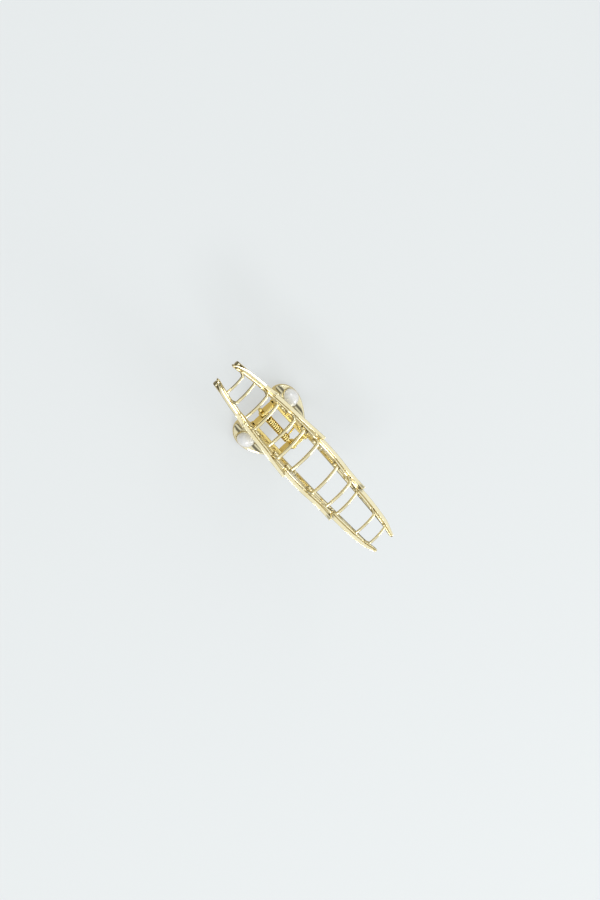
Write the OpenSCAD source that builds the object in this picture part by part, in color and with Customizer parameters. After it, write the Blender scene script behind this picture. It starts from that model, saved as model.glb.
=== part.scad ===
// Claw clip of brazed and plated metal: two openwork jaws that hinge on one
// pin, wire teeth that cross between the jaws, a coiled torsion spring that
// holds them shut, and a handle on each jaw with a pearl set in a bezel.
// The hinge pin runs along X. Jaw A is on the -Y side and jaw B on the +Y side.
// The clip stands on its two pearls at Z = 0 and the teeth are at the top.

/* [Clip] */
// Length of the jaws along the hinge
clip_l = 115; // [105:1:125]
// Height of the tooth line above the hinge
jaw_h = 25; // [23:0.5:28]
// Half width over the rails in the middle
rail_w = 11.8; // [11:0.1:12]
// Half width over the rails at their ends
rail_end_w = 5.2; // [4.8:0.1:5.6]

/* [Rail] */
// Thickness of a rail, across the clip
rail_t = 2.5; // [2.2:0.1:2.8]
// Thickness of the flat band that makes the outer part of a rail
band_t = 1.6; // [1.4:0.1:1.8]
// Outward lean of the rail for each mm of height
rail_lean = 0.21; // [0.15:0.01:0.25]
// Height of the middle cusp above the tooth line
cusp_h = 1.8; // [1:0.1:2.5]
// Height of the side cusp above the tooth line
side_cusp_h = 3; // [2:0.1:3.5]
// Distance of the side cusp from the middle
side_cusp_x = 31.5; // [30:0.1:33]

/* [Spine] */
// Half width over the centre line of the spine in the middle
spine_w = 7.45; // [7.2:0.05:7.6]
// Thickness of the spine, across the clip
spine_t = 1.9; // [1.6:0.1:2]
// Height of the spine's bar
spine_h = 2.6; // [2:0.1:3]

/* [Teeth] */
// Wire radius of the middle teeth
tooth_r = 0.8; // [0.7:0.05:0.85]
// Wire radius of the end teeth
tooth_end_r = 0.55; // [0.5:0.05:0.6]
// Bend radius where a tooth leaves its rail
bend_r = 1.8; // [1.5:0.1:2.2]
// Gap between a middle tooth's tip and the rail across from it
tip_gap = 0.6; // [0.5:0.1:1]
// Distance by which an end tooth's tip passes over the edge of the rail across from it
tip_over = 0.8; // [0:0.1:1]
// Slant of the teeth, in degrees
tooth_slant = 4; // [0:1:5]

/* [Hinge] */
// Radius of the hinge pin
pin_r = 0.6; // [0.5:0.05:0.7]
// Running clearance round the pin
run_gap = 0.06; // [0.03:0.01:0.1]
// Radius of a hinge eye
eye_r = 1.8; // [1.6:0.1:2]
// Thickness of the hinge brackets
bracket_t = 1.2; // [1:0.1:1.4]
// Wire radius of the spring
wire_r = 0.42; // [0.35:0.01:0.45]
// Number of turns of the spring
turns = 13; // [10:1:14]

/* [Handles] */
// Radius of the handle's curve, from the hinge to its tip
handle_r = 15; // [14.7:0.1:15.3]
// Thickness of the handle's plate
handle_t = 1.4; // [1.2:0.1:1.6]
// Half length of a handle along the hinge
handle_l = 12.2; // [11.7:0.1:12.4]
// Radius of a pearl
pearl_r = 3.9; // [3.7:0.1:4]

/* [Hidden] */
TOOTH_NAMES = ["tooth_a1", "tooth_a2", "tooth_a3", "tooth_a4", "tooth_a5", "tooth_a6",
               "tooth_b1", "tooth_b2", "tooth_b3", "tooth_b4", "tooth_b5", "tooth_b6"];
$fn = 64;
big_fn = 720;

pale_gold = "#E6D9A8";
deep_gold = "#C9A63F";
pearl_white = "#F4F2EE";

// Places of the teeth along the hinge, from left to right
tooth_a_x = [-41.5, -24.7, -6.9, 17.4, 34.1, 51.6];
tooth_b_x = [-50.4, -32.8, -15.1, 2.1, 25.9, 44];

half_l = clip_l / 2;

// Depth of a block that passes right through the clip
through = 80;

// The handle's plate curves about a line outside the hinge and a little above it
handle_axis_y = 21.36;
handle_axis_up = 0.87;
handle_round = 13.2;
handle_round_x = 1.2;
handle_round_y = 5.5;
handle_round_down = 5.53;
handle_slope = 36;
handle_gap = 0.35;

// The pearl sits in the handle's plate, just proud of its middle surface. The clip
// stands on the two pearls, which sets the height of the hinge.
pearl_angle = 51.3;
pearl_proud = 0.5;
pearl_down = (handle_r - pearl_proud) * sin(pearl_angle) - handle_axis_up;
hinge_z = pearl_down + pearl_r;
tooth_z = hinge_z + jaw_h;

// Solder or glue film between fitted pieces
film = 0.03;

// Radii of the arcs that the rail and the spine follow in plan
rail_sag = rail_w - rail_end_w;
rail_arc = (pow(half_l, 2) + pow(rail_sag, 2)) / (2 * rail_sag);
spine_end_w = 5.3;
spine_sag = spine_w - spine_end_w;
spine_arc = (pow(half_l, 2) + pow(spine_sag, 2)) / (2 * spine_sag);
shell_angle = 30;
shell_spare = 2;

function mix(a, b, t) = a + (b - a) * t;
function part_way(x, lo, hi) = (x - lo) / (hi - lo);

// Heights along the rail, above the tooth line. Each point is a place along the
// clip, a height and how sharply the line turns towards it. The band falls from its
// left end to a small cusp, then rises in lobes that each end in a cusp and a drop.
drop_w = 2;
left_end_h = 6;
right_end_h = 7.5;
band_points = [[-half_l, left_end_h, 1], [-36, -1.2, 0.8], [-30.5, 0.8, 2],
               [-29, -2.6, 1], [-15, -2.4, 1], [0, cusp_h, 1.7], [drop_w, -3.6, 1],
               [14, -1.4, 0.6], [side_cusp_x, side_cusp_h, 3.5],
               [side_cusp_x + drop_w, -2.2, 1], [half_l, right_end_h, 0.75]];

// The ridge inside the band runs lower and smoother, and the teeth stand on it
ridge_points = [[-half_l, left_end_h - 0.6, 1], [-36, -1.9, 0.8], [-29, -3.1, 1],
                [-15, -3, 1], [0, -2.6, 1], [drop_w, -4.1, 1], [14, -2.1, 0.6],
                [side_cusp_x, -0.6, 2], [side_cusp_x + drop_w, -2.9, 1],
                [half_l, right_end_h - 0.8, 0.75]];
bottom_points = [[-half_l, left_end_h - 2.7, 1], [-36, -5, 0.8], [-29, -6, 1],
                 [-15, -6.2, 1], [0, -6.6, 1], [6, -7, 1], [14, -5.4, 0.8],
                 [28, -4.6, 1.5], [34, -5.4, 1], [half_l, right_end_h - 2.7, 0.8]];
profile_step = 1.5;

function span_of(points, x, i = 0) =
    i == len(points) - 2 || x <= points[i + 1][0] ? i : span_of(points, x, i + 1);
function height_at(points, x) =
    let (i = span_of(points, x), a = points[i], b = points[i + 1])
    mix(a[1], b[1], pow(part_way(x, a[0], b[0]), b[2]));

// Half width over the rail at a place x and a height z above the tooth line
function rail_out(x, z) =
    rail_w - rail_arc + sqrt(pow(rail_arc, 2) - pow(x, 2)) + rail_lean * (z - cusp_h);

// Centre height of the spine's bar above the hinge
spine_flat = 10;
spine_low = 1.5;
spine_high = jaw_h + 4.2;
spine_power = 1.15;
spine_cut = 1.5;
spine_step = 2;
function spine_mid(x) =
    let (t = max(0, part_way(abs(x), spine_flat, half_l)))
    mix(spine_low, spine_high, pow(t, spine_power));

// Places where a line of the rail is worked out: its points, and steps between them
function places(points) =
    [for (i = [0 : len(points) - 2])
        let (from = points[i][0], to = points[i + 1][0],
             steps = ceil((to - from) / profile_step))
        for (k = [0 : steps - 1]) mix(from, to, k / steps)];
function line_of(points) =
    [for (x = concat(places(points), [half_l])) [x, tooth_z + height_at(points, x)]];

// Bracket, spring and pin places along the hinge
ear_gap = 0.3;
ear_a_x = 9;
ear_b_x = ear_a_x + bracket_t + ear_gap;
bracket_w = 6.5;
bracket_low = 2.5;
bracket_high = 3;
ear_bite = 0.1;
ear_root = 1.6;
pad_w = 7.4;
pin_left = 12.9;
pin_right = ear_b_x + bracket_t + ear_gap;
head_r = 2 * pin_r;
head_l = 0.7;
ball_r = 1.5 * pin_r;
coil_l = 14;
coil_r = 1.22;
leg_angle = 16;
leg_w = 5.8;

// Bezel round the pearl
bezel_wall = 0.45;
bezel_r = pearl_r + bezel_wall;
bezel_low = -1.2;
bezel_high = 0.6;

// Turns a shape drawn in X and Z into a block across the clip
module across(depth) {
    rotate([90, 0, 0])
        linear_extrude(depth, center = true)
            children();
}

// Places a jaw: jaw A stays and jaw B is its mirror image
module jaw(name) {
    mirror([0, name == "b" ? 1 : 0, 0])
        children();
}

// Leaning shell that holds a layer of the rail, on the -Y side
module rail_shell(from, to) {
    low = -10;
    high = right_end_h + shell_spare;
    out_low = rail_arc + rail_lean * (low - cusp_h);
    out_high = rail_arc + rail_lean * (high - cusp_h);
    translate([0, rail_arc - rail_w, tooth_z])
        rotate([0, 0, 270 - shell_angle / 2])
            rotate_extrude(angle = shell_angle, $fn = big_fn)
                polygon([[out_low - to, low], [out_low - from, low],
                         [out_high - from, high], [out_high - to, high]]);
}

// Upright shell that holds the spine and its struts, on the -Y side
module spine_shell() {
    translate([0, spine_arc - spine_w, hinge_z - bracket_low])
        rotate([0, 0, 270 - shell_angle / 2])
            rotate_extrude(angle = shell_angle, $fn = big_fn)
                translate([spine_arc - spine_t / 2, 0])
                    square([spine_t, spine_high + bracket_low + spine_h]);
}

// Blocks that thin the two tips of the rail from outside
tip_l = 8;
tip_cut = 1.5;
tip_spare = 1;
module tip_blocks() {
    start = half_l - tip_l;
    for (side = [-1, 1])
        translate([0, 0, tooth_z])
            linear_extrude(through, center = true)
                polygon([[side * start, -rail_out(start, left_end_h)],
                         [side * half_l, tip_cut - rail_out(half_l, left_end_h)],
                         [side * (half_l + tip_spare), tip_cut - rail_out(half_l, left_end_h)],
                         [side * (half_l + tip_spare), -through], [side * start, -through]]);
}

// One layer of the rail: its shell cut to the height between two lines
module rail_layer(from, to, points) {
    top = line_of(points);
    bottom = line_of(bottom_points);
    intersection() {
        rail_shell(from, to);
        across(through)
            polygon(concat(top, [for (i = [len(bottom) - 1 : -1 : 0]) bottom[i]]));
    }
}

module spine_profile() {
    end_x = half_l - spine_cut;
    xs = [for (x = [-end_x : spine_step : end_x]) x];
    top = [for (x = xs) [x, hinge_z + spine_mid(x) + spine_h / 2]];
    bottom = [for (i = [len(xs) - 1 : -1 : 0])
              [xs[i], hinge_z + spine_mid(xs[i]) - spine_h / 2]];
    polygon(concat(top, bottom));
}

// Upright struts between the spine and the rail
strut_w = 1.8;
strut_x = [4.5, 19, 38];
strut_bite = 0.5;
module strut(x) {
    low = hinge_z + spine_mid(x);
    high = tooth_z + height_at(bottom_points, x) + strut_bite;
    translate([x - strut_w / 2, low])
        square([strut_w, high - low]);
}

module struts() {
    for (side = [-1, 1])
        for (x = strut_x)
            strut(side * x);
}

// Tooth sizes that follow from its place
function wire_at(x) = mix(tooth_r, tooth_end_r, abs(x) / half_l);
tooth_inset = 1.9;
foot_depth = 1.4;
function foot_h(x) = height_at(ridge_points, x);
function foot_y(x) = rail_out(x, foot_h(x)) - tooth_inset;
function reach(x) = foot_y(x) + rail_out(x, foot_h(x)) - rail_t
    - mix(tip_gap, -tip_over, abs(x) / half_l);

// Centre line of a tooth in its own plane: a foot in the rail, a tight bend and a
// long shallow arc, as points with Y across the clip and Z up from the rail
rise = 0.2;
bend_end = 100;
arc_end = 76;
bend_steps = 6;
arc_steps = 8;
tip_steps = 3;
tip_turn = 80;
tooth_sides = 12;
bend_y = bend_r * (1 + cos(bend_end));
function long_r(x) = (reach(x) - wire_at(x) - bend_y) / (cos(arc_end) - cos(bend_end));
function bend_point(a) = [0, bend_r * (1 + cos(a)), rise + bend_r * sin(a)];
function arc_point(x, a) =
    bend_point(bend_end) + long_r(x) * [0, cos(a) - cos(bend_end), sin(a) - sin(bend_end)];
function tip_point(x, a) =
    arc_point(x, arc_end) + wire_at(x) * sin(a) * [0, sin(arc_end), -cos(arc_end)];

function tooth_path(x) = concat(
    [[0, 0, -foot_depth]],
    [for (i = [0 : bend_steps]) bend_point(mix(180, bend_end, i / bend_steps))],
    [for (i = [1 : arc_steps]) arc_point(x, mix(bend_end, arc_end, i / arc_steps))],
    [for (i = [1 : tip_steps]) tip_point(x, tip_turn * i / tip_steps)]);
function tooth_radii(x) = concat(
    [for (i = [0 : bend_steps + arc_steps + 1]) wire_at(x)],
    [for (i = [1 : tip_steps]) wire_at(x) * cos(tip_turn * i / tip_steps)]);

// Round wire swept along a path that stays near one plane across the hinge
function unit(v) = v / norm(v);
function way_at(path, i) = unit(path[min(i + 1, len(path) - 1)] - path[max(i - 1, 0)]);
function wire_ring(path, radius, sides, i) =
    let (way = way_at(path, i),
         side = unit([1, 0, 0] - way[0] * way),
         up = cross(way, side))
    [for (k = [0 : sides - 1])
        path[i] + radius * (cos(360 * k / sides) * side + sin(360 * k / sides) * up)];

module swept_wire(path, radii, sides) {
    rings = len(path);
    points = [for (i = [0 : rings - 1]) each wire_ring(path, radii[i], sides, i)];
    walls = [for (i = [0 : rings - 2], k = [0 : sides - 1])
             let (a = i * sides + k, b = i * sides + (k + 1) % sides)
             [a, a + sides, b + sides, b]];
    first_cap = [for (k = [0 : sides - 1]) k];
    last_cap = [for (k = [sides - 1 : -1 : 0]) (rings - 1) * sides + k];
    polyhedron(points, concat([first_cap], walls, [last_cap]), convexity = 4);
}

module tooth(x, slant) {
    color(pale_gold)
        translate([x, -foot_y(x), tooth_z + foot_h(x)])
            rotate([0, 0, slant])
                swept_wire(tooth_path(x), tooth_radii(x), tooth_sides);
}

module tooth_a(i) {
    jaw("a")
        tooth(tooth_a_x[i], tooth_slant);
}

module tooth_b(i) {
    jaw("b")
        tooth(tooth_b_x[i], -tooth_slant);
}

hole_h = 8;
module foot_holes(tooth_x) {
    for (x = tooth_x)
        translate([x, -foot_y(x), tooth_z + foot_h(x) - foot_depth])
            cylinder(hole_h, wire_at(x) + film, wire_at(x) + film, $fn = 32);
}

// Jaw frame: the lobed rail, the spine under it, its struts and the hinge pad. The
// bracket's back plate lies in a flat seat that is cut in the spine.
module jaw_frame(tooth_x) {
    pad_l = ear_b_x + bracket_t;
    color(pale_gold)
        difference() {
            union() {
                difference() {
                    union() {
                        rail_layer(0, band_t, band_points);
                        rail_layer(band_t, rail_t, ridge_points);
                    }
                    tip_blocks();
                }
                intersection() {
                    spine_shell();
                    across(through) {
                        spine_profile();
                        struts();
                    }
                }
                translate([-pad_l, -pad_w, hinge_z - bracket_low])
                    cube([2 * pad_l, pad_w - bracket_w, bracket_low + bracket_high]);
            }
            foot_holes(tooth_x);
            translate([-pad_l, -bracket_w, hinge_z - bracket_low])
                cube([2 * pad_l, bracket_w, bracket_low + bracket_high]);
        }
}

// Hinge bracket: a back plate on the pad and two ears that hold the pin
module bracket(ear_x, hole_r) {
    wide = ear_x + bracket_t;
    color(deep_gold)
        translate([0, 0, hinge_z])
            difference() {
                union() {
                    translate([-wide, -bracket_w, -bracket_low])
                        cube([2 * wide, bracket_t, bracket_low + bracket_high]);
                    for (x = [-wide, ear_x])
                        translate([x, 0, 0])
                            rotate([90, 0, 90])
                                linear_extrude(bracket_t)
                                    ear_outline();
                }
                rotate([0, 90, 0])
                    cylinder(4 * wide, hole_r, hole_r, center = true);
            }
}

module ear_outline() {
    circle(eye_r);
    polygon([[0, -eye_r], [0, eye_r], [ear_bite - bracket_w, ear_root],
             [ear_bite - bracket_w, -ear_root]]);
}

module bracket_a() {
    bracket(ear_a_x, pin_r);
}

module bracket_b() {
    bracket(ear_b_x, pin_r + run_gap);
}

// Moves a shape to the pearl's centre, with +Z out of the plate
module at_pearl() {
    translate([0, -handle_axis_y, hinge_z + handle_axis_up])
        rotate([-pearl_angle, 0, 0])
            translate([0, handle_r - pearl_proud, 0])
                rotate([90, 0, 0])
                    children();
}

// Block that bounds the handle: as long as the hinge, below it and off its middle
module handle_bounds() {
    translate([handle_round_x - handle_l, -handle_axis_y, 0])
        cube([2 * handle_l, handle_axis_y - leg_w - handle_gap, hinge_z - bracket_low]);
}

// Handle: a curved plate with a round outline and a round hole for the bezel
module handle() {
    color(pale_gold)
        difference() {
            intersection() {
                translate([0, -handle_axis_y, hinge_z + handle_axis_up])
                    rotate([0, 90, 0])
                        rotate_extrude($fn = big_fn)
                            translate([handle_r - handle_t / 2, -through / 2])
                                square([handle_t, through]);
                translate([handle_round_x, -handle_round_y, hinge_z - handle_round_down])
                    rotate([handle_slope, 0, 0])
                        cylinder(through, handle_round, handle_round, center = true, $fn = 256);
                handle_bounds();
            }
            at_pearl()
                cylinder(2 * pearl_r, bezel_r + film, bezel_r + film, center = true);
        }
}

// Bezel: a ring that grips the pearl round its middle
module bezel() {
    color(pale_gold)
        at_pearl()
            difference() {
                translate([0, 0, bezel_low])
                    cylinder(bezel_high - bezel_low, bezel_r, bezel_r);
                sphere(pearl_r + film, $fn = 96);
            }
}

module pearl() {
    color(pearl_white)
        at_pearl()
            sphere(pearl_r, $fn = 96);
}

// Pin with a flat head at one end and a small ball at the other
module hinge_pin() {
    color(deep_gold)
        translate([0, 0, hinge_z])
            rotate([0, 90, 0]) {
                translate([0, 0, -pin_left])
                    cylinder(pin_left + pin_right, pin_r, pin_r);
                translate([0, 0, -pin_left])
                    sphere(ball_r);
                translate([0, 0, pin_right])
                    cylinder(head_l, head_r, head_r);
            }
}

// Spring: its wire runs under bracket A, round the pin and out under bracket B
leg_l = (leg_w + coil_r * sin(leg_angle)) / cos(leg_angle);
first_angle = leg_angle - 90;
last_angle = 360 * turns - leg_angle - 90;
turn_steps = 12;
wire_steps = turn_steps * turns;
wire_sides = 8;

function coil_point(t) =
    let (a = mix(first_angle, last_angle, t))
    [mix(-coil_l / 2, coil_l / 2, t), coil_r * cos(a), coil_r * sin(a)];
function leg_end(side) =
    [side * coil_l / 2,
     side * (leg_l * cos(leg_angle) - coil_r * sin(leg_angle)),
     -coil_r * cos(leg_angle) - leg_l * sin(leg_angle)];
wire_path = concat([leg_end(-1)], [for (i = [0 : wire_steps]) coil_point(i / wire_steps)],
                   [leg_end(1)]);

module torsion_spring() {
    color(deep_gold)
        translate([0, 0, hinge_z])
            swept_wire(wire_path, [for (p = wire_path) wire_r], wire_sides);
}

jaw("a") jaw_frame(tooth_a_x);  // frame_a
jaw("b") jaw_frame(tooth_b_x);  // frame_b
jaw("a") bracket_a();
jaw("b") bracket_b();
jaw("a") handle();  // handle_a
jaw("b") handle();  // handle_b
jaw("a") bezel();  // bezel_a
jaw("b") bezel();  // bezel_b
jaw("a") pearl();  // pearl_a
jaw("b") pearl();  // pearl_b
hinge_pin();
torsion_spring();
tooth_a(0);  // tooth_a1
tooth_a(1);  // tooth_a2
tooth_a(2);  // tooth_a3
tooth_a(3);  // tooth_a4
tooth_a(4);  // tooth_a5
tooth_a(5);  // tooth_a6
tooth_b(0);  // tooth_b1
tooth_b(1);  // tooth_b2
tooth_b(2);  // tooth_b3
tooth_b(3);  // tooth_b4
tooth_b(4);  // tooth_b5
tooth_b(5);  // tooth_b6
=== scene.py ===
"""Gold claw clip with wire teeth and pearl handles: the looks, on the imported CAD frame."""

import math

import bmesh
import bpy
from mathutils import Matrix, Vector


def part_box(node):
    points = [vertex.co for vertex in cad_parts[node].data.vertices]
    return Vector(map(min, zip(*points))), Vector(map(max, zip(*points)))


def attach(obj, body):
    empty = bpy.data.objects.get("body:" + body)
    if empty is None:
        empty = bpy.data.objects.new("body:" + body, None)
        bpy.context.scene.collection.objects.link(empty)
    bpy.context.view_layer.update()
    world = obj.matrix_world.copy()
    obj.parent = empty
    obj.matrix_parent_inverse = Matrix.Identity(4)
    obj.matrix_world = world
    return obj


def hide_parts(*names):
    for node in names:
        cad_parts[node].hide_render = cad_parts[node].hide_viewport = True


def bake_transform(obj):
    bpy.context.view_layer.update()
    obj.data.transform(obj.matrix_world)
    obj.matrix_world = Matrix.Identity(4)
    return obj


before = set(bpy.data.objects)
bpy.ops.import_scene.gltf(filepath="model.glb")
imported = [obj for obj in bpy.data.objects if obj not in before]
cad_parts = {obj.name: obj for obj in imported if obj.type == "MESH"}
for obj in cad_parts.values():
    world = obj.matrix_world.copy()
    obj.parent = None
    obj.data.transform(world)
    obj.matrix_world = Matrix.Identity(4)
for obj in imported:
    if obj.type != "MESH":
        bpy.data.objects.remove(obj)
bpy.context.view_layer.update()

MM = 0.001

# Sizes in millimetres, the same as the CAD model's
HALF_L = 57.5
JAW_H = 25.0
RAIL_W, RAIL_END_W, RAIL_T, RAIL_LEAN = 11.8, 5.2, 2.5, 0.21
# The cusps' height, and the flat band's width along the rail and at the cusps
CUSP_H, BAND_W, CUSP_W = 1.8, 1.58, 1.2
SPINE_W, SPINE_END_W, SPINE_T, SPINE_H = 7.45, 5.3, 1.9, 2.6
SPINE_FLAT, SPINE_LOW, SPINE_HIGH = 10.0, 1.5, JAW_H + 4.2
STRUT_X, STRUT_W = (4.5, 19.0, 38.0), 1.8
TOOTH_A_X = (-41.5, -24.7, -6.9, 17.4, 34.1, 51.6)
TOOTH_B_X = (-50.4, -32.8, -15.1, 2.1, 25.9, 44.0)
TOOTH_R, TOOTH_END_R, BEND_R, TIP_GAP, TIP_OVER = 0.8, 0.55, 1.8, 0.6, 0.8
TOOTH_SLANT, TOOTH_INSET, RISE = math.radians(4), 1.9, 0.2
BEND_END, ARC_END = math.radians(100), math.radians(76)
# The tip's thickness as a share of the wire's, and the root's places along the ridge
TIP_SHARE, ROOT_XS = 0.93, (-4.2, -3.4, -2.7, -2.1)
PIN_R, RUN_GAP, EYE_R, EAR_ROOT, BRACKET_T = 0.6, 0.06, 1.8, 1.6, 1.2
EAR_A_X, EAR_B_X = 9.0, 10.5
BRACKET_W, BRACKET_LOW, BRACKET_HIGH, PAD_W = 6.5, 2.5, 3.0, 7.4
PIN_LEFT, PIN_RIGHT, BALL_R, HEAD_R, HEAD_L, HEAD_FLAT = 12.9, 12.0, 0.9, 1.2, 0.7, 0.35
COIL_L, COIL_R, WIRE_R, TURNS = 14.0, 1.22, 0.42, 13
LEG_SLOPE, LEG_W = math.radians(16), 5.8
HANDLE_Y, HANDLE_UP, HANDLE_R, HANDLE_L = 21.36, 0.87, 15.0, 12.2
HANDLE_ROUND, HANDLE_ROUND_X, HANDLE_ROUND_Y, HANDLE_ROUND_DOWN = 13.2, 1.2, 5.5, 5.53
HANDLE_SLOPE, HANDLE_IN = math.radians(36), 6.15
# The handle's rim: widths on the pearl's side and outside, and the two faces' depths
RIM_IN, RIM_OUT, DISH_DEPTH, PLATE_DEPTH = 1.5, 1.2, 0.52, 0.7
PEARL_R, PEARL_PROUD, PEARL_ANGLE = 3.9, 0.5, math.radians(51.3)
BEZEL_R, BEZEL_LOW, FILM = 4.35, -1.2, 0.03

# The hinge line's height is read from the CAD pin
pin_low, pin_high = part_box("hinge_pin")
HINGE_Z = (pin_low.z + pin_high.z) / 2 / MM
TOOTH_Z = HINGE_Z + JAW_H


def mix(a, b, t):
    return a + (b - a) * t


def share(x, low, high):
    return (x - low) / (high - low)


def arc_radius(half_width, end_half_width):
    sag = half_width - end_half_width
    return (HALF_L**2 + sag**2) / (2 * sag)


RAIL_ARC = arc_radius(RAIL_W, RAIL_END_W)
SPINE_ARC = arc_radius(SPINE_W, SPINE_END_W)


# ---------------------------------------------------------------- shape builder
class Shape:
    """Points in millimetres and faces, gathered from skinned rings."""

    def __init__(self):
        self.points = []
        self.faces = []

    def skin(self, rings, wrap=False):
        """Skins equal closed rings: the ends are closed with fans, or joined if wrap is set."""
        base, n = len(self.points), len(rings[0])
        for ring in rings:
            self.points += [tuple(p) for p in ring]
        last = len(rings) if wrap else len(rings) - 1
        for i in range(last):
            j = (i + 1) % len(rings)
            for k in range(n):
                m = (k + 1) % n
                self.faces.append(
                    (base + i * n + k, base + i * n + m, base + j * n + m, base + j * n + k)
                )
        if not wrap:
            self.fan(range(base + n - 1, base - 1, -1))
            self.fan(range(base + (len(rings) - 1) * n, base + len(rings) * n))

    def fan(self, loop):
        loop = list(loop)
        centre = sum((Vector(self.points[i]) for i in loop), Vector()) / len(loop)
        self.points.append(tuple(centre))
        c = len(self.points) - 1
        for a, b in zip(loop, loop[1:] + loop[:1]):
            self.faces.append((a, b, c))

    def make(self, name, body, nodes, slot, material, mirrored=False, weighted=False):
        """The mesh object, in place of its CAD nodes: put on its body when that is a name, else left where
        it is. mirrored is for jaw B.
        """
        sign = -1 if mirrored else 1
        mesh = bpy.data.meshes.new(name)
        mesh.from_pydata(
            [(x * MM, sign * y * MM, z * MM) for x, y, z in self.points], [], self.faces
        )
        bm = bmesh.new()
        bm.from_mesh(mesh)
        bmesh.ops.recalc_face_normals(bm, faces=bm.faces)
        bm.to_mesh(mesh)
        bm.free()
        mesh.polygons.foreach_set("use_smooth", [True] * len(mesh.polygons))
        mesh.materials.append(material)
        obj = bpy.data.objects.new(name, mesh)
        bpy.context.scene.collection.objects.link(obj)
        if weighted:
            obj.modifiers.new("Even normals", "WEIGHTED_NORMAL").keep_sharp = True
        if isinstance(body, str):
            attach(obj, body)
        else:
            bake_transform(obj)
        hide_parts(*nodes)
        return obj


def rounded_rect(w, h, r, steps=5):
    """Points round a rectangle with rounded corners, centred at 0."""
    pts = []
    for cx, cy, start in ((1, 1, 0), (-1, 1, 90), (-1, -1, 180), (1, -1, 270)):
        for i in range(steps + 1):
            a = math.radians(start + 90 * i / steps)
            pts.append(
                (cx * (w / 2 - r) + r * math.cos(a), cy * (h / 2 - r) + r * math.sin(a))
            )
    return pts


def edge_steps(depth, r, steps=4):
    """(inset, height) pairs from the edge of one face to the edge of the other, rounded by r."""
    first = []
    for i in range(steps + 1):
        a = math.pi / 2 * i / steps
        first.append((r * (1 - math.sin(a)), r * (1 - math.cos(a))))
    return first + [(i, depth - h) for i, h in reversed(first)]


def sweep(shape, path, radii, sides):
    """Round wire along a path."""
    path = [Vector(p) for p in path]
    side, rings = Vector((0.3, 0.9, 0.2)), []
    for i, p in enumerate(path):
        way = (path[min(i + 1, len(path) - 1)] - path[max(i - 1, 0)]).normalized()
        side = (side - side.dot(way) * way).normalized()
        up = way.cross(side)
        rings.append(
            [
                p + radii[i] * (math.cos(a) * side + math.sin(a) * up)
                for a in (2 * math.pi * k / sides for k in range(sides))
            ]
        )
    shape.skin(rings)


# ---------------------------------------------------------------- jaw frame
# Lines along the rail: place along the clip, height above the tooth line, and how sharply it turns
BAND_POINTS = (
    (-HALF_L, 6.0, 1), (-36, -1.2, 0.8), (-30.5, 0.8, 2), (-29, -2.6, 1), (-15, -2.4, 1), (0, CUSP_H, 1.7),
    (2, -3.6, 1), (14, -1.4, 0.6), (31.5, 3.0, 3.5), (33.5, -2.2, 1), (HALF_L, 7.5, 0.75),
)
RIDGE_POINTS = (
    (-HALF_L, 5.4, 1), (-36, -1.9, 0.8), (-29, -3.1, 1), (-15, -3.0, 1), (0, -2.6, 1),
    (2, -4.1, 1), (14, -2.1, 0.6), (31.5, -0.6, 2), (33.5, -2.9, 1), (HALF_L, 6.7, 0.75),
)
BOTTOM_POINTS = (
    (-HALF_L, 3.3, 1), (-36, -5.0, 0.8), (-29, -6.0, 1), (-15, -6.2, 1), (0, -6.6, 1),
    (6, -7.0, 1), (14, -5.4, 0.8), (28, -4.6, 1.5), (34, -5.4, 1), (HALF_L, 4.8, 0.8),
)


def height_at(points, x):
    x = min(max(x, -HALF_L), HALF_L)
    for (x0, z0, _), (x1, z1, power) in zip(points, points[1:]):
        if x <= x1:
            return mix(z0, z1, share(x, x0, x1) ** power)
    return points[-1][1]


def band_line(x):
    return height_at(BAND_POINTS, x)


def ridge_line(x):
    return height_at(RIDGE_POINTS, x)


def bottom_line(x):
    return height_at(BOTTOM_POINTS, x)


def eased(line, x, reach):
    """The line with its corners rounded over a reach."""
    taps = [(-1, 1), (-0.67, 2), (-0.33, 3), (0, 4), (0.33, 3), (0.67, 2), (1, 1)]
    return sum(w * line(x + o * reach) for o, w in taps) / sum(w for _, w in taps)


def rail_out(x, z):
    return RAIL_W - RAIL_ARC + math.sqrt(RAIL_ARC**2 - x**2) + RAIL_LEAN * (z - CUSP_H)


def corner(cx, cy, r, start, end, steps):
    return [
        (cx + r * math.cos(math.radians(a)), cy + r * math.sin(math.radians(a)))
        for a in (start + (end - start) * i / steps for i in range(steps + 1))
    ]


def rail_section(height, ridge):
    """(distance in from the outer face, height) round the rail.

    In order: outer face, flat band, crease, ridge bead, cove, lower bead.
    """
    above = min(1.0, max(0.0, (height - ridge - 0.7) / 3.5))
    wide = mix(BAND_W, CUSP_W, above)
    outer = corner(0.5, 0.5, 0.5, 250, 180, 4) + [(0.0, height * 0.4), (0.0, height * 0.7)]
    band = corner(0.26, height - 0.26, 0.26, 180, 96, 4) + [(wide / 2, height)]
    band += corner(wide - 0.2, height - 0.2, 0.2, 84, 0, 4)
    wall = [(mix(wide, BAND_W, f), mix(height - 0.2, ridge - 0.22, f)) for f in (0.3, 0.65, 1.0)]
    bead = corner(2.0, ridge - 0.5, 0.5, 140, -60, 11)
    cove = [(1.85, mix(0.9, ridge, 0.5)), (1.62, mix(0.9, ridge, 0.22)), (1.6, 0.9)]
    low_bead = corner(1.2, 0.5, 0.5, 40, -90, 6)
    return outer + band + wall + bead + cove + low_bead + [(0.9, 0.03)]


def spans(stops):
    """Places along half the rail: (from, to, steps) spans joined."""
    xs = [stops[0][0]]
    for low, high, steps in stops:
        xs += [low + (high - low) * i / steps for i in range(1, steps + 1)]
    return xs


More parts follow.
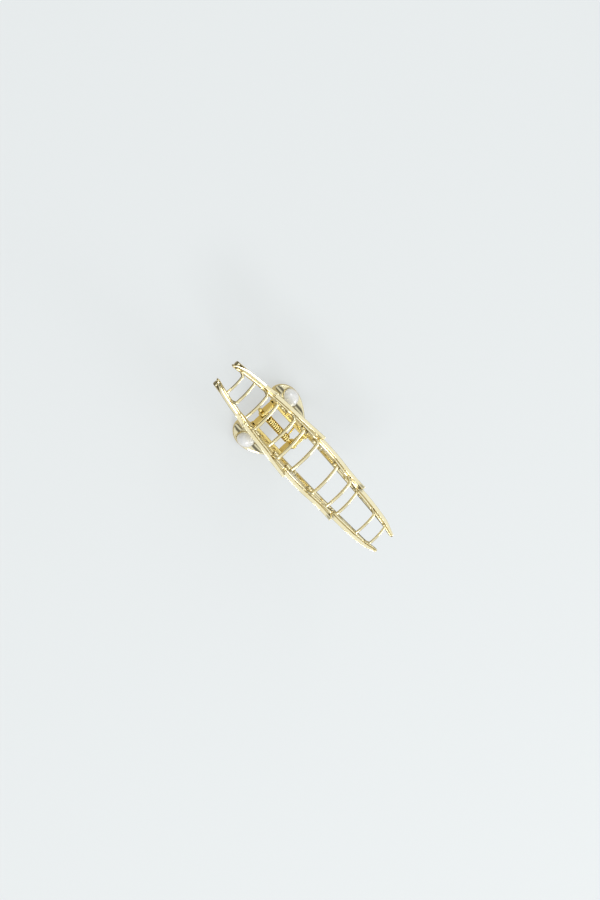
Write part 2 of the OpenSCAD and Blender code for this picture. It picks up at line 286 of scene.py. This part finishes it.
END_ROUND, TIP_L, TIP_CUT = 1.3, 8.0, 1.5
rail_xs = spans(
    [(-HALF_L + END_ROUND, -36, 24), (-36, -31.5, 7), (-31.5, -28, 14), (-28, -1, 34), (-1, 3, 18),
     (3, 29, 34), (29, 30.8, 4), (30.8, 34.3, 16), (34.3, HALF_L - END_ROUND, 28)]
)
end_xs = [HALF_L - END_ROUND + END_ROUND * math.sin(math.pi / 2 * i / 9) for i in range(1, 9)]
rail_xs = [-x for x in reversed(end_xs)] + rail_xs + end_xs


def rail_rings():
    rings = []
    for x in rail_xs:
        top, ridge, bottom = eased(band_line, x, 0.35), eased(ridge_line, x, 0.6), eased(bottom_line, x, 1.2)
        past = max(0.0, (abs(x) - (HALF_L - END_ROUND)) / END_ROUND)
        keep = math.sqrt(max(0.0, 1 - past**2))
        cut = TIP_CUT * max(0.0, share(abs(x), HALF_L - TIP_L, HALF_L)) ** 1.3
        ring = []
        for t, h in rail_section(top - bottom, ridge - bottom):
            t = cut + mix(RAIL_T / 2, t, keep) * (RAIL_T - cut) / RAIL_T
            z = bottom + mix((top - bottom) / 2, h, keep)
            ring.append((x, t - rail_out(x, z), TOOTH_Z + z))
        rings.append(ring)
    return rings


def spine_mid(x):
    t = max(0.0, share(abs(x), SPINE_FLAT, HALF_L))
    return mix(SPINE_LOW, SPINE_HIGH, t**1.15)


def spine_out(x):
    return SPINE_W - SPINE_ARC + math.sqrt(SPINE_ARC**2 - x**2)


def spine_rings():
    rings, end = [], HALF_L - 1.8
    for i in range(141):
        x = mix(-end, end, i / 140)
        z = HINGE_Z + eased(spine_mid, x, 2.5)
        rings.append(
            [(x, y - spine_out(x), z + h) for y, h in rounded_rect(SPINE_T, SPINE_H, 0.7)]
        )
    return rings


def strut_rings(x):
    """An upright bar that flares into the spine below and the rail above."""
    low = HINGE_Z + spine_mid(x) + SPINE_H / 2 - 0.45
    high = TOOTH_Z + bottom_line(x) + 0.35
    flare, rings = 1.9, []
    steps = [i / 8 for i in range(9)]
    zs = [low + flare * s for s in steps]
    zs += [mix(zs[-1], high - flare, s) for s in (0.25, 0.5, 0.75)]
    zs += [high - flare + flare * s for s in steps]
    for z in zs:
        near = min(z - low, high - z) / flare
        grow = 1.5 * (1 - math.sqrt(max(0.0, 1 - (1 - min(1.0, near)) ** 2)))
        w = STRUT_W + 2 * grow
        rings.append(
            [(x + a, b - spine_out(x), z) for a, b in rounded_rect(w, SPINE_T - 0.1, 0.62)]
        )
    return rings


def upright_slab(shape, width, low, high, y_near, y_far, edge, round_r):
    """A plate with rounded corners and edges that stands across the Y direction."""
    rings = []
    for inset, depth in edge_steps(abs(y_far - y_near), edge):
        y = y_near + math.copysign(depth, y_far - y_near)
        outline = rounded_rect(width - 2 * inset, high - low - 2 * inset, round_r - inset)
        rings.append([(a, y, (low + high) / 2 + b) for a, b in outline])
    shape.skin(rings)


def jaw_frame():
    shape = Shape()
    shape.skin(rail_rings())
    shape.skin(spine_rings())
    for x in STRUT_X:
        for side in (-1, 1):
            shape.skin(strut_rings(side * x))
    upright_slab(
        shape, 2 * (EAR_B_X + BRACKET_T), HINGE_Z - BRACKET_LOW, HINGE_Z + BRACKET_HIGH,
        -BRACKET_W, -PAD_W, 0.28, 0.9,
    )
    return shape


# ---------------------------------------------------------------- hinge
def inside_ear(u, v):
    if math.hypot(u, v) <= EYE_R:
        return True
    if not 0 <= u <= BRACKET_W - 0.1:
        return False
    t = u / (BRACKET_W - 0.1)
    return abs(v) <= mix(EYE_R, EAR_ROOT, t)


def reach_of(inside, angle, limit):
    """Distance from the origin to a shape's edge, by halving."""
    low, high = 0.0, limit
    for _ in range(40):
        mid = (low + high) / 2
        if inside(mid * math.cos(angle), mid * math.sin(angle)):
            low = mid
        else:
            high = mid
    return low


def relaxed(values, times):
    """A loop of radii with its corners rounded, never made larger."""
    for _ in range(times):
        n = len(values)
        values = [
            min(values[i], (values[i - 1] + 2 * values[i] + values[(i + 1) % n]) / 4)
            for i in range(n)
        ]
    return values


def ear(shape, x0, hole_r, count=72):
    """An ear of the bracket with its eye, as thick as the plate, from x0 on."""
    angles = [2 * math.pi * k / count for k in range(count)]
    radii = relaxed([reach_of(inside_ear, a, 12.0) for a in angles], 3)
    rings = []
    for inset, depth in edge_steps(BRACKET_T, 0.25):
        rings.append(
            [(x0 + depth, -(r - inset) * math.cos(a), HINGE_Z + (r - inset) * math.sin(a))
             for r, a in zip(radii, angles)]
        )
    for inset, depth in reversed(edge_steps(BRACKET_T, 0.18)):
        r = hole_r + inset
        rings.append(
            [(x0 + depth, -r * math.cos(a), HINGE_Z + r * math.sin(a)) for a in angles]
        )
    shape.skin(rings, wrap=True)


def bracket(ear_x, hole_r):
    shape = Shape()
    wide = ear_x + BRACKET_T
    upright_slab(
        shape, 2 * wide, HINGE_Z - BRACKET_LOW, HINGE_Z + BRACKET_HIGH,
        BRACKET_T - BRACKET_W, -BRACKET_W, 0.25, 0.6,
    )
    ear(shape, -wide, hole_r)
    ear(shape, ear_x, hole_r)
    return shape


def lathe_x(shape, profile, sides):
    """Rings round the hinge line from (x, radius) pairs."""
    shape.skin(
        [
            [(x, r * math.cos(a), HINGE_Z + r * math.sin(a))
             for a in (2 * math.pi * k / sides for k in range(sides))]
            for x, r in profile
        ]
    )


def hinge_pin():
    shape = Shape()
    profile = []
    for i in range(1, 14):
        a = math.radians(180 - 10 * i)
        profile.append((-PIN_LEFT + BALL_R * math.cos(a), BALL_R * math.sin(a)))
    neck = -PIN_LEFT + 1.1
    profile += [(-PIN_LEFT + 0.82, PIN_R + 0.02), (neck, PIN_R)]
    profile += [(mix(neck, PIN_RIGHT - 0.15, i / 12), PIN_R) for i in range(1, 13)]
    profile += [
        (PIN_RIGHT - 0.03, PIN_R + 0.05), (PIN_RIGHT, HEAD_R - 0.15),
        (PIN_RIGHT + 0.05, HEAD_R - 0.04), (PIN_RIGHT + 0.15, HEAD_R),
        (PIN_RIGHT + HEAD_FLAT, HEAD_R),
    ]
    for i in range(1, 8):
        a = math.radians(12 * i)
        profile.append(
            (PIN_RIGHT + HEAD_FLAT + (HEAD_L - HEAD_FLAT) * math.sin(a), HEAD_R * math.cos(a))
        )
    lathe_x(shape, profile, 32)
    return shape


def torsion_spring():
    """Wire from under bracket A, round the pin and out under bracket B."""
    leg = (LEG_W + COIL_R * math.sin(LEG_SLOPE)) / math.cos(LEG_SLOPE)
    first = LEG_SLOPE - math.pi / 2
    last = 2 * math.pi * TURNS - LEG_SLOPE - math.pi / 2
    steps = 36 * TURNS

    def leg_point(side, t):
        """From the coil, t 0, to the leg's tip, t 1."""
        reach = leg * t
        return (
            side * COIL_L / 2,
            side * (reach * math.cos(LEG_SLOPE) - COIL_R * math.sin(LEG_SLOPE)),
            HINGE_Z - COIL_R * math.cos(LEG_SLOPE) - reach * math.sin(LEG_SLOPE),
        )

    shares = (1.0, 0.985, 0.96, 0.9, 0.75, 0.6, 0.45, 0.3, 0.15, 0.06)
    leg_radii = [WIRE_R * f for f in (0.55, 0.85, 1.0)] + [WIRE_R] * 7
    path, radii = [leg_point(-1, t) for t in shares], list(leg_radii)
    for i in range(steps + 1):
        a = mix(first, last, i / steps)
        x = mix(-COIL_L / 2, COIL_L / 2, i / steps)
        path.append((x, COIL_R * math.cos(a), HINGE_Z + COIL_R * math.sin(a)))
        radii.append(WIRE_R)
    path += [leg_point(1, t) for t in reversed(shares)]
    radii += reversed(leg_radii)
    shape = Shape()
    sweep(shape, path, radii, 14)
    return shape


# ---------------------------------------------------------------- teeth
def wire_at(x):
    return mix(TOOTH_R, TOOTH_END_R, abs(x) / HALF_L)


def tooth(x, slant):
    """A wire tooth that leaves the rail's ridge in a curve and crosses in a long shallow arc."""
    ridge = ridge_line(x)
    out = rail_out(x, ridge)
    foot = out - TOOTH_INSET
    wire = wire_at(x)
    reach = foot + out - RAIL_T - mix(TIP_GAP, -TIP_OVER, abs(x) / HALF_L)
    turn = BEND_R * (1 + math.cos(BEND_END))
    long_r = (reach - wire - turn) / (math.cos(ARC_END) - math.cos(BEND_END))
    peak = RISE + BEND_R * math.sin(BEND_END)

    def arc(a):
        """A point (across, up) of the long arc."""
        return (
            turn + long_r * (math.cos(a) - math.cos(BEND_END)),
            peak + long_r * (math.sin(a) - math.sin(BEND_END)),
        )

    def ridge_at(px):
        """The ridge's centre beside the tooth, in the tooth's own axes."""
        z = ridge_line(x + px)
        return px, foot - rail_out(x + px, z) + 2.0, z - ridge - 0.5

    path = [ridge_at(px) for px in ROOT_XS]
    radii = [0.42, mix(0.45, wire, 0.3), mix(0.45, wire, 0.65), mix(0.45, wire, 0.9)]
    start_x, start_y, start_z = ridge_at(-turn)
    for i in range(15):
        a, u = math.pi / 2 * i / 14, i / 14
        path.append((
            mix(start_x, 0, math.sin(a)),
            mix(start_y, turn, 1 - math.cos(a)),
            mix(start_z, peak, u * u * (3 - 2 * u)),
        ))
        radii.append(wire)
    path += [(0.0, *arc(mix(BEND_END, ARC_END, i / 22))) for i in range(1, 23)]
    radii += [mix(wire, TIP_SHARE * wire, i / 22) for i in range(1, 23)]
    tip_y, tip_z = arc(ARC_END)
    for i in range(1, 8):
        a = math.radians(12 * i)
        path.append((
            0.0,
            tip_y + TIP_SHARE * wire * math.sin(a) * math.sin(ARC_END),
            tip_z - wire * math.sin(a) * math.cos(ARC_END),
        ))
        radii.append(TIP_SHARE * wire * math.cos(a))
    shape = Shape()
    sweep(shape, path, radii, 20)
    c, s = math.cos(slant), math.sin(slant)
    shape.points = [
        (x + px * c - py * s, px * s + py * c - foot, pz + TOOTH_Z + ridge)
        for px, py, pz in shape.points
    ]
    return shape


# ---------------------------------------------------------------- handles and pearls
def at_pearl(p):
    """From the pearl's own axes, +Z out of the handle's plate, to the jaw's."""
    y, z = HANDLE_R - PEARL_PROUD - p[2], p[1]
    c, s = math.cos(-PEARL_ANGLE), math.sin(-PEARL_ANGLE)
    return p[0], y * c - z * s - HANDLE_Y, y * s + z * c + HINGE_Z + HANDLE_UP


def lathe_pearl(shape, profile, sides, wrap):
    """Rings round the pearl's axis from (radius, height) pairs."""
    shape.skin(
        [
            [at_pearl((r * math.cos(a), r * math.sin(a), z))
             for a in (2 * math.pi * k / sides for k in range(sides))]
            for r, z in profile
        ],
        wrap=wrap,
    )


def plate_point(x, s, depth):
    """A point of the handle: x along the hinge, s along its curve from the pearl, depth outwards."""
    a = PEARL_ANGLE + s / HANDLE_R
    r = HANDLE_R + depth
    return x, r * math.cos(a) - HANDLE_Y, HINGE_Z + HANDLE_UP - r * math.sin(a)


def inside_handle(x, s):
    _, y, z = plate_point(x, s, 0.0)
    if abs(x - HANDLE_ROUND_X) > HANDLE_L or z > HINGE_Z - BRACKET_LOW:
        return False
    if y > -HANDLE_IN or y < -HANDLE_Y:
        return False
    dy, dz = y + HANDLE_ROUND_Y, z - HINGE_Z + HANDLE_ROUND_DOWN
    along = -dy * math.sin(HANDLE_SLOPE) + dz * math.cos(HANDLE_SLOPE)
    return (x - HANDLE_ROUND_X) ** 2 + dy * dy + dz * dz - along * along <= HANDLE_ROUND**2


def handle(count=128):
    """A curved plate with a raised rim, dished inside it, and a round hole for the bezel."""
    angles = [2 * math.pi * k / count for k in range(count)]
    edge = relaxed([reach_of(inside_handle, a, 25.0) for a in angles], 6)
    hole = BEZEL_R - 0.05
    rim = [(RIM_IN, -DISH_DEPTH), (1.3, -0.53), (1.12, -0.56), (0.95, -0.62), (0.75, -0.68), (0.52, -0.7),
           (0.3, -0.64), (0.13, -0.5), (0.03, -0.28), (0.0, 0.0), (0.03, 0.28), (0.14, 0.5),
           (0.34, 0.64), (0.65, PLATE_DEPTH), (RIM_OUT, PLATE_DEPTH)]
    shares = (0.0, 0.12, 0.3, 0.5, 0.7, 0.86)

    def ring(radii, depth):
        return [
            plate_point(r * math.cos(a), r * math.sin(a), depth) for r, a in zip(radii, angles)
        ]

    rings = [ring([mix(hole, e - RIM_IN, f) for e in edge], -DISH_DEPTH) for f in shares]
    rings += [ring([e - inset for e in edge], depth) for inset, depth in rim]
    rings += [
        ring([mix(hole, e - RIM_OUT, f) for e in edge], PLATE_DEPTH) for f in reversed(shares)
    ]
    shape = Shape()
    shape.skin(rings, wrap=True)
    return shape


def bezel():
    """A ring that grips the pearl round its middle, with a rolled lip."""
    seat = PEARL_R + FILM
    inner = [(math.sqrt(seat**2 - z * z), z) for z in (-1.15, -0.9, -0.6, -0.3, 0.0, 0.2, 0.35)]
    lip = [
        (3.95, 0.46), (3.98, 0.52), (4.04, 0.55), (4.1, 0.5), (4.15, 0.42), (4.2, 0.32),
        (4.26, 0.2), (4.32, 0.05), (BEZEL_R, -0.15),
    ]
    side = [
        (BEZEL_R, -0.4), (BEZEL_R, -0.7), (BEZEL_R, -0.95), (4.32, -1.08), (4.26, -1.16),
        (4.2, BEZEL_LOW), (4.0, BEZEL_LOW), (3.8, BEZEL_LOW),
    ]
    shape = Shape()
    lathe_pearl(shape, inner + lip + side, 96, True)
    return shape


def pearl():
    """A moulded bead with a small drilled dimple at its back, where it is glued on its peg."""
    profile = []
    for i in range(1, 47):
        a = math.pi * i / 48
        profile.append((PEARL_R * math.sin(a), PEARL_R * math.cos(a)))
    profile += [(0.42, -3.86), (0.36, -3.8), (0.34, -3.6), (0.3, -3.3), (0.12, -3.2)]
    shape = Shape()
    lathe_pearl(shape, [(0.1, PEARL_R - 0.002)] + profile, 80, False)
    return shape


# ---------------------------------------------------------------- materials
class Tree:
    """Short way to add nodes: a socket given as an input is linked, and a value is set on it."""

    def __init__(self, tree):
        self.tree = tree
        tree.nodes.clear()

    def add(self, kind, inputs=None, **settings):
        node = self.tree.nodes.new(kind)
        for key, value in settings.items():
            setattr(node, key, value)
        for key, value in (inputs or {}).items():
            if isinstance(value, bpy.types.NodeSocket):
                self.tree.links.new(value, node.inputs[key])
            else:
                node.inputs[key].default_value = value
        return node

    def ranged(self, value, low, high, to_low, to_high):
        return self.add(
            "ShaderNodeMapRange", {0: value, 1: low, 2: high, 3: to_low, 4: to_high}
        ).outputs[0]

    def blended(self, factor, first, second):
        return self.add("ShaderNodeMix", {0: factor, 6: first, 7: second}, data_type="RGBA").outputs[2]


def gold(name, light, deep, painted_shade_tone, rough_low, rough_high, grain):
    """Polished plate: cloudy tone, faint polishing lines, soft waviness, painted shade darkening the corners
    and crevices.
    """
    material = bpy.data.materials.new(name)
    material.use_nodes = True
    tree = Tree(material.node_tree)
    place = tree.add("ShaderNodeTexCoord").outputs["Object"]
    cloud = tree.add("ShaderNodeTexNoise", {"Vector": place, "Scale": 150.0, "Detail": 3.0}).outputs[0]
    stretched = tree.add("ShaderNodeMapping", {"Vector": place, "Scale": grain}).outputs[0]
    lines = tree.add("ShaderNodeTexNoise", {"Vector": stretched, "Scale": 900.0, "Detail": 4.0}).outputs[0]
    wavy = tree.add("ShaderNodeTexNoise", {"Vector": place, "Scale": 260.0, "Detail": 1.0}).outputs[0]
    shade = tree.add("ShaderNodeAmbientOcclusion", {"Distance": 0.0024}, samples=12).outputs["AO"]
    tone = tree.blended(tree.ranged(cloud, 0.3, 0.7, 0.0, 1.0), deep, light)
    # Painted shade: ambient occlusion pulls the tone toward the dark painted shade tone in corners and
    # crevices
    tone = tree.blended(tree.ranged(shade, 0.25, 0.8, 0.95, 0.0), tone, painted_shade_tone)
    rough = tree.ranged(lines, 0.3, 0.75, rough_low, rough_high)
    ripple = tree.add("ShaderNodeBump", {"Height": wavy, "Strength": 0.1, "Distance": 0.00004}).outputs[0]
    ripple = tree.add(
        "ShaderNodeBump",
        {"Height": lines, "Strength": 0.06, "Distance": 0.000005, "Normal": ripple},
    ).outputs[0]
    shader = tree.add(
        "ShaderNodeBsdfPrincipled",
        {"Base Color": tone, "Metallic": 1.0, "Roughness": rough, "Normal": ripple},
    )
    tree.add("ShaderNodeOutputMaterial", {"Surface": shader.outputs[0]})
    return material


def pearl_coat(name):
    """Pearl lacquer: a cloudy near-white under a smooth clear coat."""
    material = bpy.data.materials.new(name)
    material.use_nodes = True
    tree = Tree(material.node_tree)
    place = tree.add("ShaderNodeTexCoord").outputs["Object"]
    cloud = tree.add("ShaderNodeTexNoise", {"Vector": place, "Scale": 260.0, "Detail": 4.0}).outputs[0]
    fine = tree.add("ShaderNodeTexNoise", {"Vector": place, "Scale": 1500.0, "Detail": 3.0}).outputs[0]
    tone = tree.blended(
        tree.ranged(cloud, 0.3, 0.7, 0.0, 1.0), (0.74, 0.74, 0.735, 1.0), (0.81, 0.81, 0.805, 1.0)
    )
    bump = tree.add("ShaderNodeBump", {"Height": fine, "Strength": 0.08, "Distance": 0.00001}).outputs[0]
    shader = tree.add(
        "ShaderNodeBsdfPrincipled",
        {"Base Color": tone, "Roughness": tree.ranged(cloud, 0.3, 0.7, 0.2, 0.3), "Normal": bump,
         "IOR": 1.55, "Coat Weight": 1.0, "Coat Roughness": 0.03, "Coat IOR": 1.6},
    )
    tree.add("ShaderNodeOutputMaterial", {"Surface": shader.outputs[0]})
    return material


# name, light tone, deep tone, painted shade tone for corners and crevices, lowest and highest roughness,
# grain's stretch
pale_gold = gold(
    "Pale gold plate", (0.90, 0.83, 0.58, 1), (0.86, 0.77, 0.49, 1), (0.42, 0.32, 0.12, 1),
    0.05, 0.12, (0.15, 1, 1),
)
# The teeth's tones are darker than the pale plate's: painted shade standing in for the darker reflections
# along the wires
tooth_gold = gold(
    "Tooth gold plate", (0.86, 0.78, 0.52, 1), (0.82, 0.72, 0.43, 1), (0.40, 0.30, 0.11, 1),
    0.05, 0.11, (1, 0.15, 1),
)
deep_gold = gold(
    "Deep gold plate", (0.90, 0.75, 0.33, 1), (0.84, 0.67, 0.25, 1), (0.5, 0.36, 0.1, 1),
    0.12, 0.22, (0.2, 1, 1),
)
spring_gold = gold(
    "Spring wire plate", (0.90, 0.77, 0.36, 1), (0.84, 0.70, 0.28, 1), (0.38, 0.28, 0.08, 1),
    0.1, 0.2, (1, 0.3, 0.3),
)
pearl_white = pearl_coat("Pearl lacquer")

# ---------------------------------------------------------------- the object
for jaw, ear_x, hole_r, tooth_xs, slant in (
    ("a", EAR_A_X, PIN_R, TOOTH_A_X, TOOTH_SLANT),
    ("b", EAR_B_X, PIN_R + RUN_GAP, TOOTH_B_X, -TOOTH_SLANT),
):
    body, mirrored = "jaw_" + jaw, jaw == "b"
    jaw_frame().make(f"jaw_frame_{jaw}", body, [f"frame_{jaw}"], "pale_gold", pale_gold, mirrored)
    bracket(ear_x, hole_r).make(
        f"hinge_bracket_{jaw}", body, [f"bracket_{jaw}"], "deep_gold", deep_gold, mirrored, True
    )
    handle().make(f"handle_plate_{jaw}", body, [f"handle_{jaw}"], "pale_gold", pale_gold, mirrored)
    bezel().make(f"bezel_ring_{jaw}", body, [f"bezel_{jaw}"], "pale_gold", pale_gold, mirrored)
    pearl().make(f"pearl_bead_{jaw}", body, [f"pearl_{jaw}"], "pearl", pearl_white, mirrored)
    for i, x in enumerate(tooth_xs, 1):
        tooth(x, slant).make(
            f"wire_tooth_{jaw}{i}", body, [f"tooth_{jaw}{i}"], "tooth_gold", tooth_gold, mirrored
        )

hinge_pin().make("pin", "jaw_a", ["hinge_pin"], "deep_gold", deep_gold)
hinge_line = HINGE_Z * MM
coil_end = COIL_L / 2 * MM
torsion_spring().make(
    "coil_spring", ("jaw_a", "jaw_b", (-coil_end, 0, hinge_line), (coil_end, 0, hinge_line)),
    ["torsion_spring"], "spring", spring_gold,
)

# ---------------------------------------------------------------- camera
TILT, TURN = math.radians(37), math.radians(47.2)
# Metres to the camera and up its view there, and the sensor's size in millimetres
CAMERA_AWAY, FRAME_HIGH, SENSOR = 0.7, 0.3583, 36.0
toward = Vector((-math.sin(TILT), 0, math.cos(TILT)))
along = Vector((math.cos(TILT), 0, math.sin(TILT)))
across = Vector((0, 1, 0))
right = along * math.cos(TURN) + across * math.sin(TURN)
up = across * math.cos(TURN) - along * math.sin(TURN)
# How far left of and above the tooth line's middle the view is centred, in millimetres
AIM_LEFT, AIM_UP = 1.135, 2.389
aim = Vector((0, 0, TOOTH_Z * MM)) - right * AIM_LEFT * MM + up * AIM_UP * MM

camera_data = bpy.data.cameras.new("Camera")
camera_data.sensor_width = SENSOR
camera_data.lens = SENSOR * CAMERA_AWAY / FRAME_HIGH
camera_data.clip_start, camera_data.clip_end = 0.01, 100
camera = bpy.data.objects.new("Camera", camera_data)
bpy.context.scene.collection.objects.link(camera)
camera.matrix_world = Matrix.Translation(aim + toward * CAMERA_AWAY) @ Matrix(
    (right, up, toward)
).transposed().to_4x4()
bpy.context.scene.camera = camera

# ---------------------------------------------------------------- floor and light
FLOOR_R, FLOOR_SIDES = 6.0, 64
PAPER = (0.823, 0.855, 0.863, 1)
floor_angles = [2 * math.pi * k / FLOOR_SIDES for k in range(FLOOR_SIDES)]
floor_mesh = bpy.data.meshes.new("Floor")
floor_mesh.from_pydata(
    [(FLOOR_R * math.cos(a), FLOOR_R * math.sin(a), 0) for a in floor_angles],
    [], [tuple(range(FLOOR_SIDES))],
)
floor = bpy.data.objects.new("Floor", floor_mesh)
bpy.context.scene.collection.objects.link(floor)

floor_material = bpy.data.materials.new("Floor")
floor_material.use_nodes = True
tree = Tree(floor_material.node_tree)
place = tree.add("ShaderNodeTexCoord").outputs["Object"]
away = tree.add("ShaderNodeVectorMath", {0: place}, operation="LENGTH").outputs["Value"]
lit = tree.add("ShaderNodeBsdfDiffuse", {"Color": (0.27, 0.28, 0.282, 1)})
own = tree.add("ShaderNodeEmission", {"Color": PAPER, "Strength": 0.56})
matt = tree.add("ShaderNodeAddShader", {0: lit.outputs[0], 1: own.outputs[0]})
# Painted reflection: glossy rays see a painted warm glow on the floor beside the clip and painted shade
# round it; the camera sees paper
painted_glow_to_shade = tree.ranged(away, 0.035, 0.075, 0.0, 1.0)
painted_reflection_tone = tree.blended(painted_glow_to_shade, (0.60, 0.52, 0.34, 1), (0.10, 0.09, 0.065, 1))
painted_reflection = tree.add("ShaderNodeEmission", {"Color": painted_reflection_tone, "Strength": 1.0})
glossy_ray = tree.add("ShaderNodeLightPath").outputs["Is Glossy Ray"]
# The painted glow and painted shade replace the lit floor in reflections near the clip, fading out further
# away
near = tree.ranged(away, 0.22, 0.5, 0.95, 0.0)
factor = tree.add("ShaderNodeMath", {0: glossy_ray, 1: near}, operation="MULTIPLY").outputs[0]
mixed = tree.add("ShaderNodeMixShader", {0: factor, 1: matt.outputs[0], 2: painted_reflection.outputs[0]})
tree.add("ShaderNodeOutputMaterial", {"Surface": mixed.outputs[0]})
floor_mesh.materials.append(floor_material)

world = bpy.data.worlds.new("Studio")
bpy.context.scene.world = world
world.use_nodes = True
tree = Tree(world.node_tree)
way = tree.add("ShaderNodeTexCoord").outputs["Generated"]
parts = tree.add("ShaderNodeSeparateXYZ", {0: way})
height = parts.outputs[2]
dome = tree.ranged(height, 0.0, 0.9, 0.82, 1.02)
# The studio is darker round a fixed direction, where a lens would be, and in a low band
facing = tree.add(
    "ShaderNodeVectorMath", {0: way, 1: tuple(toward)}, operation="DOT_PRODUCT"
).outputs["Value"]
lens_patch = tree.ranged(facing, math.cos(math.radians(17)), math.cos(math.radians(7)), 1.0, 0.45)
from_band = tree.add("ShaderNodeMath", {0: height, 1: 0.17}, operation="SUBTRACT").outputs[0]
from_band = tree.add("ShaderNodeMath", {0: from_band}, operation="ABSOLUTE").outputs[0]
low_band = tree.ranged(from_band, 0.05, 0.1, 0.18, 1.0)
glow = tree.add("ShaderNodeMath", {0: dome, 1: lens_patch}, operation="MULTIPLY").outputs[0]
glow = tree.add("ShaderNodeMath", {0: glow, 1: low_band}, operation="MULTIPLY").outputs[0]
seen = tree.add("ShaderNodeLightPath").outputs["Is Camera Ray"]
studio = tree.add("ShaderNodeBackground", {"Color": (0.985, 1.0, 1.0, 1), "Strength": glow})
plain = tree.add("ShaderNodeBackground", {"Color": PAPER, "Strength": 1.0})
shown = tree.add("ShaderNodeMixShader", {0: seen, 1: studio.outputs[0], 2: plain.outputs[0]})
tree.add("ShaderNodeOutputWorld", {"Surface": shown.outputs[0]})


LIT_POINT = (0, 0, 0.03)


def softbox(name, place, width, height, power):
    data = bpy.data.lights.new(name, "AREA")
    data.shape, data.size, data.size_y = "RECTANGLE", width, height
    data.energy = power
    light = bpy.data.objects.new(name, data)
    bpy.context.scene.collection.objects.link(light)
    light.location = place
    light.rotation_mode = "QUATERNION"
    light.rotation_quaternion = (Vector(place) - Vector(LIT_POINT)).to_track_quat("Z", "Y")


softbox("Key softbox", (0.25, -0.45, 0.75), 0.35, 0.25, 2.4)
softbox("Right softbox", (0.75, 0.2, 0.45), 0.3, 0.4, 2.0)
softbox("Left strip", (-0.5, 0.55, 0.4), 0.12, 0.5, 1.2)

bpy.context.scene.view_settings.view_transform = "Standard"
bpy.context.scene.view_settings.look = "None"

bpy.context.view_layer.update()
